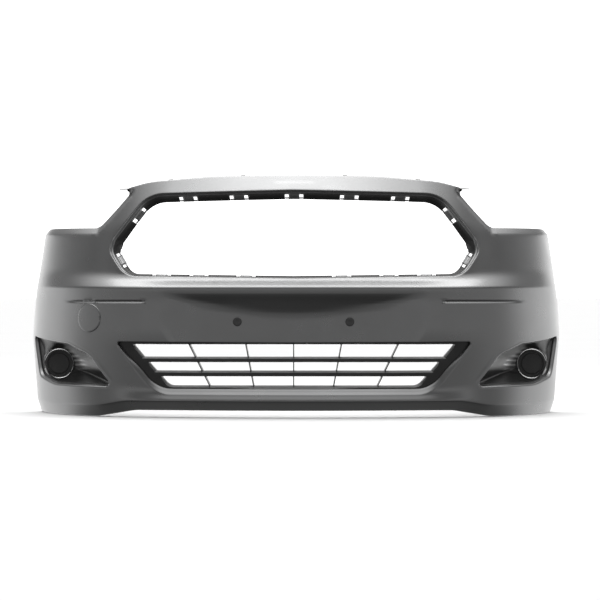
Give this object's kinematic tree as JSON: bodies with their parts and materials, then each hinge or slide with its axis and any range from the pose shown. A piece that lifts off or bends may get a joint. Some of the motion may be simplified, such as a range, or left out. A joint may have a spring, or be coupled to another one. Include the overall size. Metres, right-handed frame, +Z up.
{
  "type": "bumper cover",
  "caption": "Front bumper cover with a wide upper grille opening, slatted lower grille, blanked fog pockets, number plate panel and a hinged tow-eye cover.",
  "frame": {"origin": "on the surface that the cover stands on, under the middle of its bounding box", "axes": "+Z up, -Y towards the front of the vehicle, +X to the right seen from in front"},
  "size_m": [1.6896, 0.5104, 0.7389],
  "materials": {
    "primer_grey": "satin grey primer on moulded polypropylene",
    "cap_primer_grey": "satin grey primer on moulded polypropylene",
    "moulded_black": "fine-grained moulded black",
    "blank_black": "smooth satin black",
    "plug_black": "primed push-in plug",
    "zinc_steel": "zinc plated"
  },
  "bodies": {
    "cover": {"arch_nut_left_1": "zinc_steel", "arch_nut_left_2": "zinc_steel", "arch_nut_left_3": "zinc_steel", "arch_nut_right_1": "zinc_steel", "arch_nut_right_2": "zinc_steel", "arch_nut_right_3": "zinc_steel", "bumper_cover": "primer_grey", "fog_bezel_left": "moulded_black", "fog_bezel_right": "moulded_black", "fog_blank_left": "blank_black", "fog_blank_right": "blank_black", "fog_screw_left_1": "zinc_steel", "fog_screw_left_2": "zinc_steel", "fog_screw_left_3": "zinc_steel", "fog_screw_right_1": "zinc_steel", "fog_screw_right_2": "zinc_steel", "fog_screw_right_3": "zinc_steel", "grille_screw_1": "zinc_steel", "grille_screw_2": "zinc_steel", "grille_screw_3": "zinc_steel", "grille_screw_4": "zinc_steel", "grille_screw_5": "zinc_steel", "grille_screw_6": "zinc_steel", "grille_screw_7": "zinc_steel", "lower_grille": "moulded_black", "plate_plug_left": "plug_black", "plate_plug_right": "plug_black", "top_nut_left_1": "zinc_steel", "top_nut_left_2": "zinc_steel", "top_nut_right_1": "zinc_steel", "top_nut_right_2": "zinc_steel"},
    "tow_cover": {"tow_eye_cover": "cap_primer_grey"}
  },
  "joints": [
    {"name": "tow_cover_hinge", "type": "hinge", "parent": "cover", "child": "tow_cover", "pos_m": [-0.6619, -0.12597, 0.301], "axis": [0, 0, -1], "range_deg": [0, 80]}
  ]
}
